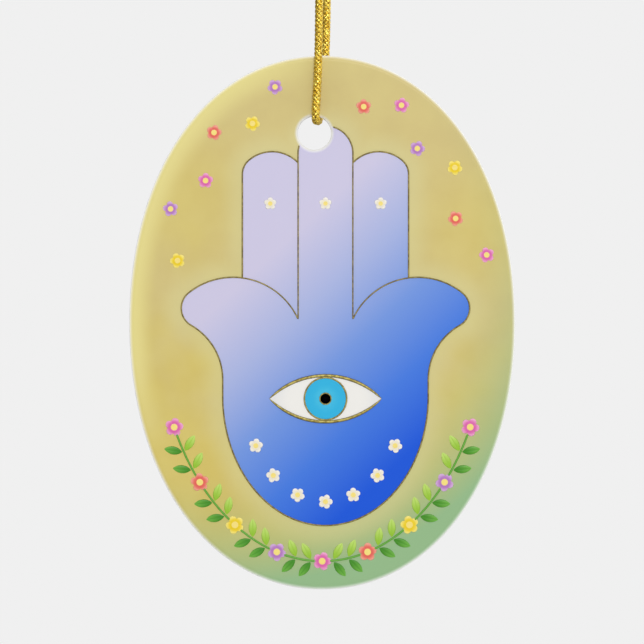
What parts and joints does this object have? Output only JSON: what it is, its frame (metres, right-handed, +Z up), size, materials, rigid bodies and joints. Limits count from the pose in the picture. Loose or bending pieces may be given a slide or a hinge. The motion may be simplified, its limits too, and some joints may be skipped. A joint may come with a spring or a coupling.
{
  "type": "hamsa hand ornament",
  "caption": "Flat oval glazed porcelain ornament printed with a hamsa hand and an eye among blossoms, hung by a knotted loop of gold braid through a hole near its top.",
  "frame": {"origin": "crotch of the braid's loop under its knot, where a hook bears", "axes": "+Z up along the hanging loop, -Y towards the printed face, +X to the right of someone facing the print"},
  "size_m": [0.06, 0.006, 0.1293],
  "materials": {
    "porcelain": "gloss white glaze",
    "ochre_ink": "gloss",
    "blue_ink": "gloss",
    "white_ink": "gloss",
    "turquoise_ink": "gloss",
    "black_ink": "gloss",
    "pink_ink": "gloss",
    "coral_ink": "gloss",
    "yellow_ink": "gloss",
    "lilac_ink": "gloss",
    "cream_ink": "gloss",
    "green_ink": "gloss",
    "lime_ink": "gloss",
    "gold_line": "printed gold line",
    "gold_braid": "metallic gold braid"
  },
  "bodies": {
    "hanger": {"cord_knot": "gold_braid", "cord_tails": "gold_braid", "hanging_eye": "gold_braid"},
    "sling": {"front_strand": "gold_braid", "cord_bight": "gold_braid", "back_strand": "gold_braid"},
    "disc": {"porcelain_body": "porcelain", "ground_print": "ochre_ink", "hand_print": "blue_ink", "hand_outline": "gold_line", "eye_outline": "gold_line", "eye_white": "white_ink", "iris_ring": "gold_line", "iris_print": "turquoise_ink", "pupil_ring": "gold_line", "pupil_print": "black_ink", "blossoms_pink": "pink_ink", "blossoms_coral": "coral_ink", "blossoms_yellow": "yellow_ink", "blossoms_lilac": "lilac_ink", "blossoms_cream": "cream_ink", "garland_stem": "green_ink", "leaves_inner": "lime_ink", "leaves_outer": "green_ink"}
  },
  "joints": [
    {"name": "turn", "type": "hinge", "parent": "hanger", "child": "sling", "pos_m": [0, 0, -0.002], "axis": [0, 0, 1], "range_deg": [-150, 150], "deforming": ["front_strand", "back_strand"]},
    {"name": "swing", "type": "hinge", "parent": "sling", "child": "disc", "pos_m": [-0.0015, 0, -0.04605], "axis": [0, 1, 0], "range_deg": [-45, 45]}
  ]
}
